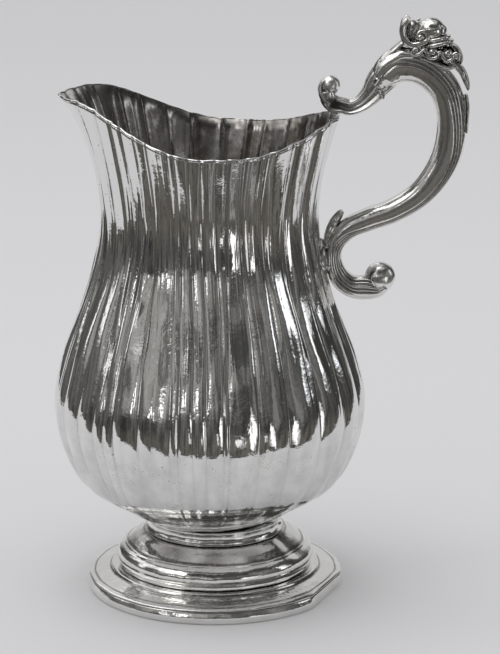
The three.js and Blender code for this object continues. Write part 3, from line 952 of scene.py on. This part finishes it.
def tube(line, radii, rings, sides):
    """A round, clean wire through [x, y, z] places, with its radii spread evenly along it."""
    path = catmull(line, rings)
    along = np.linspace(0, 1, rings)
    thick = np.interp(along, np.linspace(0, 1, len(radii)), radii)
    ends = np.minimum(1, np.minimum(along, 1 - along) * rings / 3)
    thick = (thick * np.sqrt(np.maximum(0.03, 1 - (1 - ends) ** 2)))[:, None]
    tangent = unit(np.gradient(path, axis=0))
    first = unit(np.cross(tangent, [0.3, 1.0, 0.2]))
    second = np.cross(tangent, first)
    turn = full_turn(sides)
    sideways = first[:, None, :] * (thick * np.cos(turn))[..., None]
    upwards = second[:, None, :] * (thick * np.sin(turn))[..., None]
    grid = path[:, None, :] + sideways + upwards
    return closed_rows(grid, np.zeros(grid.shape[:2]), flipped=True)


def side_wires(line, radii, rings, sides, offset):
    """The same wire through [x, z] places on both sides."""
    return [tube([(x, y, z) for x, z in line], radii, rings, sides) for y in (-offset, offset)]


PLATE = [
    (74.3, 241.6, 1.4), (74.6, 243.4, 2.7), (76.6, 247.2, 2.9), (80.2, 250.0, 3.0), (85, 252.4, 3.0),
    (91, 252.4, 2.6),
]
TOP_LEAF = [(74.6, 248.8, 0.6), (79.5, 253.0, 1.3), (84.4, 257.2, 1.5), (86.8, 259.6, 1.0)]
PRONGS = [
    [(75.2, 236.8), (75.7, 234.6), (75.8, 232.4)],
    [(77.4, 237.2), (77.2, 234.8), (77.0, 232.6)],
]
PRONG_OFFSET = 4.2
PRONG_RADII = [0.9, 0.7, 0.35]


def plate_shape(along, across, side):
    """A raised rim round the flat plate that laps over the stem."""
    rim = bump(np.abs(across), 0.75, 0.16)
    return 0.45 * (1 - rim) * ramp(along, 0.06, 0.14), 0.9 * ramp(np.abs(across), 0.93, 1.0)


def grip_half_width(along):
    """The grip starts inside the stem, so its first stretch is narrower."""
    return np.interp(along, [0, 0.02, 0.07], [3.6, 4.0, GRIP_HALF_WIDTH])


def build_handle():
    """The grip with the plate and leaf that lap over the stem, and the stem with its four prongs."""
    grip = bar(GRIP, grip_half_width, 300, 120, grip_shape, 0.86)
    plate = bar(PLATE, 6.5, 90, 40, plate_shape, 0.9)
    cast("handle_grip", "handle_bow", grip, plate, bar(TOP_LEAF, 4.6, 50, 40, leaf_shape(2, 0.3)))
    prongs = []
    for line in PRONGS:
        prongs += side_wires(line, PRONG_RADII, 24, 14, PRONG_OFFSET)
    cast("handle_upper_branch", "handle_stem", bar(STEM, 4.4, 150, 84, stem_shape, 0.8), *prongs)


build_handle()

# Centre lines as for the grip. The strap rolls up round the ball that sits on the rim.
WRAP = [(50.6, 241.4, 0.8), (48.6, 238.4, 1.1), (48.6, 235.0, 1.4), (50.3, 231.8, 1.6), (53.4, 229.2, 1.4)]
SPUR = [(51.6, 162.5, 1.3), (52.8, 169, 2.2), (55.4, 175.4, 2.3), (58.8, 180.6, 1.4)]
THUMB_LEAF = [(106, 250.6, 1.6), (111.5, 245.8, 1.7), (114, 240.5, 1.4), (115, 236.6, 0.5)]
BACK_LEAF = [(113.6, 235, 1.2), (114.5, 229, 1.2), (114.3, 222, 1.1), (114.6, 217, 0.5)]


def dark_back(along, across, side):
    """Tarnish along the back edge of the strap, and no relief."""
    return 0 * along * across, 0.5 * bump(across, 0.9, 0.25) + 0 * along


upper_ball = blob((52.9, 0, 238.2), (4.5, 4.9, 4.5), 60, 96, crescent(0.72, 0.4, 195, 330))
lower_ball = blob((76.3, 0, 149.7), (7.1, 6.5, 7.1), 90, 140, crescent(0.70, 1.3, 110, 235))
strap = bar(WRAP, 4.7, 50, 30, dark_back)
cast("rim_scroll_ball", "rim_volute", upper_ball, strap, metal=RUBBED_SILVER)
cast("lower_scroll_ball", "lower_volute", lower_ball, metal=RUBBED_SILVER)
cast("spur", "spur_leaf", bar(SPUR, 3.6, 50, 40, leaf_shape(2, 0.5)))
cast("thumb_rest_leaf", "thumb_leaf", bar(THUMB_LEAF, 4.6, 60, 60, leaf_shape(4, 0.6)))
cast("back_spray", "back_leaf", bar(BACK_LEAF, 4, 60, 60, leaf_shape(3, 0.4)))


def lumpy(ux, uz, uy):
    """Solder that has run and set in low swellings."""
    swell = np.sin(5 * ux + 2 * uz) * np.cos(4 * uy - 3 * uz)
    return 0.45 * swell, 0.2 + 0.2 * swell


cast("joint_pad", "mount_pad", blob((49.4, 0, 157.6), (3.9, 8.4, 9.6), 50, 80, lumpy))


# ---- thumb rest ----

SCROLL_SPIRAL = [
    (87.8, 269.0), (85.7, 266.4), (85.4, 262.4), (86.8, 258.9), (89.5, 257.3), (93.0, 257.9),
    (96.0, 259.5), (96.6, 262.0), (94.6, 263.5), (92.4, 262.9), (91.7, 261.1), (92.9, 260.4),
]
SPIRAL_RADII = [1.5, 1.6, 1.6, 1.6, 1.5, 1.4, 1.2, 1.0, 0.9, 0.85, 0.85, 1.0]
INNER_STRAND = [(91.9, 268.0), (92.7, 265.4), (92.2, 263.0)]


def build_thumb_scroll():
    """A rolled leaf: its thick edge winds into a spiral on each face, round a small ball."""
    band = bar([(x, z, 1.3) for x, z in SCROLL_SPIRAL[:5]], 5.6, 70, 32)
    hollow = blob((89.6, 0, 263.2), (3.4, 4.3, 4.8), 40, 60, toned(0.5))
    core = blob((93.2, 0, 260.6), (3.6, 5.2, 3.0), 40, 60, toned(0.35))
    spirals = side_wires(SCROLL_SPIRAL, SPIRAL_RADII, 160, 18, 5.2)
    strands = side_wires(INNER_STRAND, [0.9], 40, 14, 4.6)
    balls = [blob((93.2, y, 261.0), (1.35, 1.35, 1.35), 20, 30) for y in (-5.9, 5.9)]
    cast("thumb_rest_scroll", "thumb_scroll", band, hollow, core, *spirals, *strands, *balls)


def cap_shape(ux, uz, uy):
    """A smooth cap pulled towards its back edge, with one fold running down each side."""
    fold = bump(np.arctan2(np.abs(uy), ux), 0.75, 0.14) * (1 - ramp(uz, 0.0, 0.7))
    flat_back = 0.9 * ramp(ux, 0.3, 1) * ramp(uz, 0.1, 0.8)
    return 0.6 * fold + flat_back, 0.5 * fold


def ring(centre, radii, thick, tilt):
    """A closed bead round the thumb rest, tilted up towards its back."""
    turn = np.linspace(0, ROUND, 161)
    x = centre[0] + radii[0] * np.cos(turn)
    y = centre[1] + radii[1] * np.sin(turn)
    z = centre[2] + tilt * (x - centre[0])
    return tube(np.stack([x, y, z], axis=1), [thick], 161, 12)


def build_thumb_bands():
    """Two beads round a drum."""
    drum = blob((100.6, 0, 258.4), (5.6, 5.9, 2.8), 30, 60, toned(0.55))
    upper = ring((100.4, 0, 259.9), (5.6, 5.8), 0.85, 0.17)
    lower = ring((101.0, 0, 257.7), (6.2, 6.2), 0.95, 0.19)
    cast("thumb_rest_bands", "thumb_bands", drum, upper, lower)


FRILL_EDGE = [
    (92.3, 255.7), (90.8, 255.7), (89.9, 254.4), (90.9, 253.2), (92.7, 253.6), (94.0, 254.7),
    (95.0, 255.5), (96.0, 254.3), (97.2, 252.0), (99.5, 251.7), (101.0, 252.8), (101.4, 254.3),
    (102.7, 254.2), (103.5, 252.1), (105.5, 250.6), (107.4, 251.6), (108.1, 253.6), (109.6, 254.0),
    (110.5, 252.5), (110.6, 250.9),
]
# Where each petal is (x, z), and its half width and half height.
FRILL_PETALS = [
    (91.6, 254.6, 2.0, 1.7), (98.8, 254.3, 3.3, 3.1), (105.3, 253.4, 3.3, 3.2), (109.4, 252.4, 2.4, 2.4),
]
SKIRT = [(92.3, 251.8, 1.0), (97, 250.3, 1.3), (101.5, 248.7, 1.4), (106, 247.4, 1.4), (109.8, 247.8, 1.0)]
ROLLED_LEAF = [
    (105.8, 257.6, 0.7), (108.7, 256.2, 1.1), (110.6, 253.4, 1.2), (111.2, 250.2, 1.2), (110.6, 247.6, 0.8),
]


def build_thumb_frill():
    """A waved edge on each face over round petals, a plain skirt below and a leaf over the back."""
    petals = [blob((x, 0, z), (wide, 6.2, tall), 30, 50, toned(0.12)) for x, z, wide, tall in FRILL_PETALS]
    floor = blob((100.8, 0, 252.4), (9.2, 5.2, 3.0), 30, 60, toned(0.9))
    edges = side_wires(FRILL_EDGE, [0.75], 220, 14, 6.4)
    skirt = bar(SKIRT, 6.3, 60, 36, toned(0.1))
    leaf = bar(ROLLED_LEAF, 5.0, 60, 48, leaf_shape(3, 0.4))
    cast("thumb_rest_frill", "thumb_ruffle", floor, skirt, leaf, *petals, *edges)


build_thumb_scroll()
cast("thumb_rest_cap", "thumb_cap", blob((98.3, 0, 263.7), (6.7, 6.2, 5.6), 70, 100, cap_shape))
build_thumb_bands()
build_thumb_frill()


# ---- table, room and light ----

PAPER_TONE = (0.80, 0.80, 0.815, 1)
PAPER_ROUGHNESS = 0.9
PAPER_SPECULAR = 0.1

# The pale floor is laid in metres. The silver sees only the table, whose edge is near in front.
FAR = 9.0
TABLE_EDGE = -0.207
TABLE_SIDE = 0.70
LEFT_FRONT = (-0.16, TABLE_EDGE)
LEFT_SIDE = (-TABLE_SIDE, -0.06)
RIGHT_FRONT = (0.10, TABLE_EDGE)
RIGHT_SIDE = (TABLE_SIDE, 0.38)
TABLE = [LEFT_FRONT, RIGHT_FRONT, RIGHT_SIDE, (TABLE_SIDE, FAR), (-TABLE_SIDE, FAR), LEFT_SIDE]
REST_OF_FLOOR = {
    "front": [(-FAR, -FAR), (FAR, -FAR), (FAR, TABLE_EDGE), (-FAR, TABLE_EDGE)],
    "left": [(-FAR, TABLE_EDGE), LEFT_FRONT, LEFT_SIDE, (-TABLE_SIDE, FAR), (-FAR, FAR)],
    "right": [RIGHT_FRONT, (FAR, TABLE_EDGE), (FAR, FAR), (TABLE_SIDE, FAR), RIGHT_SIDE],
}

# Brightness and warmth. The room is darkest at eye level, and paler behind the pitcher.
FLOOR_GREY = (0.105, 0.05)
WALL_GREY = (0.055, 0.02)
BEHIND_GREY = (0.6, 0.0)
FILL_GREY = (0.70, 0.0)
BACKDROP_TONE = (0.645, 0.645, 0.655, 1)
# Degrees: the change from floor to walls, the start and the top of the paler part behind, and how far
# all of these wander up and down.
HORIZON = (-14, -2)
BEHIND_FROM = (140, 158)
BEHIND_UP_TO = (48, 30)
WANDER = 3.0
# Clutter: how fast it changes sideways and upwards, and how dark and light it gets.
CLUTTER_ACROSS = 0.09
CLUTTER_UP = 0.03
CLUTTER_RANGE = (0.45, 1.6)
# Patches of the room: (brightness, warmth), then their left, right, low and high edges, and how soft these
# are sideways and upwards, in degrees. 0 is straight in front of the pitcher, plus is to its right in the
# picture. A later patch covers an earlier one.
ROOM = [
    ((0.28, 0.02), (-75, 20, 9, 26, 8, 6)),
    ((0.13, 0.02), (20, 50, 9, 26, 6, 4)),
    ((0.10, 0.02), (-30, 8, -9, 9, 5, 3)),
    ((0.10, 0.02), (-140, -70, -5, 30, 8, 5)),
    ((1.0, 0.0), (-170, -36, 28, 70, 6, 7)),
    ((0.50, 0.0), (-180, 180, 62, 90, 1, 6)),
    ((2.6, 0.0), (-62, -38, 33, 52, 3, 3)),
    ((1.3, 0.0), (-36, -21, 29, 35, 2, 1.5)),
    ((0.16, 0.01), (52, 78, 0, 40, 6, 5)),
    ((1.2, -0.02), (88, 104, 8, 34, 3, 3)),
    ((0.9, 0.0), (-97, -86, 10, 46, 2, 3)),
    ((2.2, 0.0), (-44, -36, 7, 11.5, 1.5, 1.2)),
    ((0.22, 0.01), (22, 42, -50, -31, 4, 3)),
    ((1.3, 0.0), (38.5, 54, -22, 3, 2, 2)),
    ((1.1, 0.0), (19, 27, -13, -5, 2, 2)),
    ((1.8, 0.0), (-28, -19, 14.5, 18.5, 1.5, 1.5)),
]


def paper():
    """Plain, dull white."""
    material = bpy.data.materials.new("table_paper")
    material.use_nodes = True
    inputs = material.node_tree.nodes["Principled BSDF"].inputs
    inputs["Base Color"].default_value = PAPER_TONE
    inputs["Roughness"].default_value = PAPER_ROUGHNESS
    inputs["Specular IOR Level"].default_value = PAPER_SPECULAR
    return material


def polygon(name, corners, material):
    """A flat piece of the floor."""
    mesh = bpy.data.meshes.new(name)
    mesh.from_pydata([(x, y, 0) for x, y in corners], [], [tuple(range(len(corners)))])
    mesh.materials.append(material)
    obj = add_object(name, mesh)
    return obj


def lay_floor():
    """The table, and the same paper all round it, which the silver doesn't see."""
    material = paper()
    polygon("table", TABLE, material)
    for label, corners in REST_OF_FLOOR.items():
        polygon("floor_" + label, corners, material).visible_glossy = False


def grey(brightness, warmth):
    """A tone from its brightness and warmth."""
    return (brightness * (1 + warmth), brightness, brightness * (1 - 2 * warmth), 1)


def directions(n):
    """The bearing and height of what is seen, in degrees; its level wanders, so no edge is straight."""
    seen_at = n.new("ShaderNodeTexCoord").outputs["Generated"]
    x, y, z = n.new("ShaderNodeSeparateXYZ", None, Vector=seen_at).outputs
    bearing = n.math("DEGREES", n.math("ARCTAN2", x, n.times(y, -1.0)))
    level = n.math("DEGREES", n.math("ARCSINE", z))
    wander_at = n.new("ShaderNodeCombineXYZ", None, X=n.times(bearing, 0.07), Y=3.7, Z=0.0)
    wander = n.remap(n.noise(wander_at.outputs[0], 1.0, 2), 0.3, 0.7, -WANDER, WANDER)
    return bearing, n.math("ADD", level, wander)


def window(n, value, low, high, soft):
    """1 inside the range of the value, 0 outside."""
    rise = n.remap(value, low - soft, low + soft)
    fall = n.remap(value, high - soft, high + soft, 1.0, 0.0)
    return n.times(rise, fall)


def clutter(n, bearing, height, colour):
    """The colour made lighter and darker in upright blotches, as a furnished room is."""
    across = n.times(bearing, CLUTTER_ACROSS)
    up = n.times(height, CLUTTER_UP)
    spot = n.new("ShaderNodeCombineXYZ", None, X=across, Y=up).outputs[0]
    amount = n.remap(n.noise(spot, 1.0, 3), 0.3, 0.7, *CLUTTER_RANGE)
    return n.new("ShaderNodeVectorMath", {"operation": "SCALE"}, _0=colour, Scale=amount).outputs[0]


def light_room():
    """What the silver sees, by direction: a dim room with a few soft lights. The camera sees paper."""
    world = bpy.data.worlds.new("studio")
    bpy.context.scene.world = world
    world.use_nodes = True
    n = Nodes(world.node_tree)
    bearing, height = directions(n)
    colour = n.mix(n.remap(height, *HORIZON), grey(*FLOOR_GREY), grey(*WALL_GREY))
    for tone, (left, right, low, high, soft_side, soft_up) in ROOM:
        sideways = window(n, bearing, left, right, soft_side)
        upwards = window(n, height, low, high, soft_up)
        colour = n.mix(n.times(sideways, upwards), colour, grey(*tone))
    colour = clutter(n, bearing, height, colour)
    far_round = n.remap(n.math("ABSOLUTE", bearing), *BEHIND_FROM)
    behind = n.times(far_round, n.remap(height, *BEHIND_UP_TO))
    colour = n.mix(behind, colour, grey(*BEHIND_GREY))
    ray = n.new("ShaderNodeLightPath").outputs
    seen = n.mix(ray["Is Glossy Ray"], grey(*FILL_GREY), colour)
    seen = n.mix(ray["Is Camera Ray"], seen, BACKDROP_TONE)
    background = n.new("ShaderNodeBackground", None, Color=seen, Strength=1.0)
    out = n.new("ShaderNodeOutputWorld")
    n.tree.links.new(background.outputs[0], out.inputs[0])


def hang_softbox(hung_at, aim, size, power):
    """A square light overhead that the camera doesn't see."""
    data = bpy.data.lights.new("overhead_softbox", "AREA")
    data.shape = "SQUARE"
    data.size = size
    data.energy = power
    lamp = add_object("overhead_softbox", data)
    lamp.location = hung_at
    lamp.rotation_euler = (Vector(aim) - Vector(hung_at)).to_track_quat("-Z", "Y").to_euler()
    lamp.visible_camera = False


def set_camera(stands_at, look_down, look_left, lens):
    """A camera, turned by angles in radians, with its focal length in mm."""
    data = bpy.data.cameras.new("camera")
    data.sensor_width = 36
    data.lens = lens
    camera = add_object("camera", data)
    camera.location = stands_at
    camera.rotation_euler = (math.pi / 2 - look_down, 0, look_left)
    bpy.context.scene.camera = camera


lay_floor()
light_room()
hang_softbox(hung_at=(-0.35, -0.05, 1.8), aim=(0, 0.1, 0), size=1.0, power=5.6)
set_camera(stands_at=(0.0917, -1.1948, 0.4297), look_down=0.2491, look_left=0.08, lens=147.2)
bpy.context.scene.view_settings.view_transform = "Standard"
